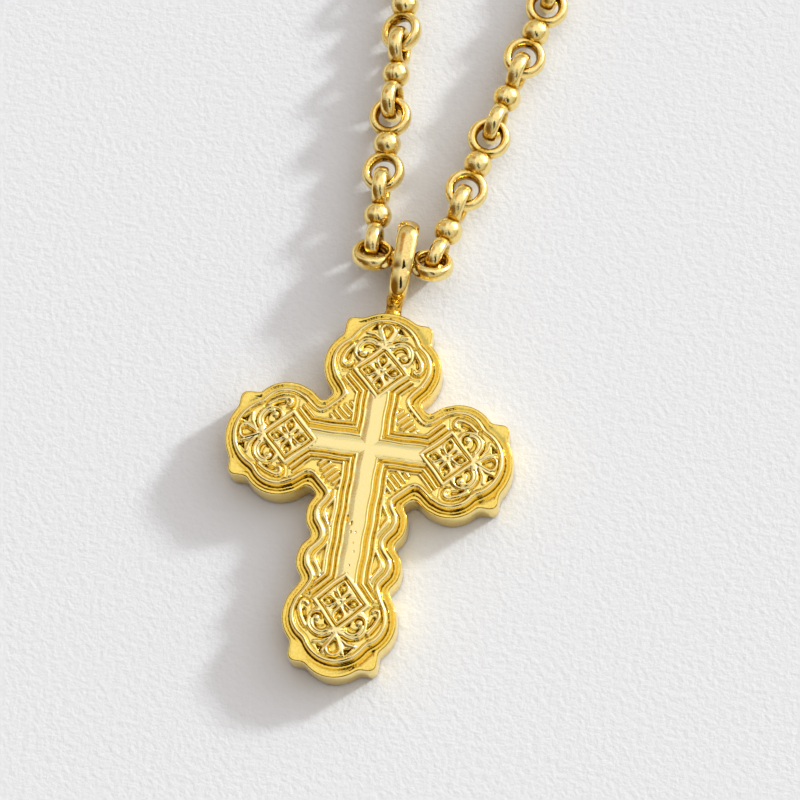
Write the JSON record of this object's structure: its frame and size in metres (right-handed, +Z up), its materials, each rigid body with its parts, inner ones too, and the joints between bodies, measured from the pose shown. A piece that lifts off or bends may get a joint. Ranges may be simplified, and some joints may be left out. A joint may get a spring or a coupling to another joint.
{
  "type": "orthodox cross pendant with chain",
  "caption": "Cast orthodox cross with trefoil arms and a ledge round a raised ornamented plate, threaded by its bail on an eye-and-ball link chain.",
  "frame": {"origin": "centre of the bounding box in plan, on the surface that the cross and its chain lie on", "axes": "+Y from the cross's foot towards its bail and on to the clasp, +X to the right seen from above, +Z up out of the cross's face"},
  "size_m": [0.1174, 0.2246, 0.006],
  "materials": {
    "gold": "polished yellow gold"
  },
  "bodies": {
    "root": {"cross": "gold", "centre_link": "gold", "chain_left": "gold", "chain_right": "gold", "clasp": "gold"}
  },
  "joints": []
}
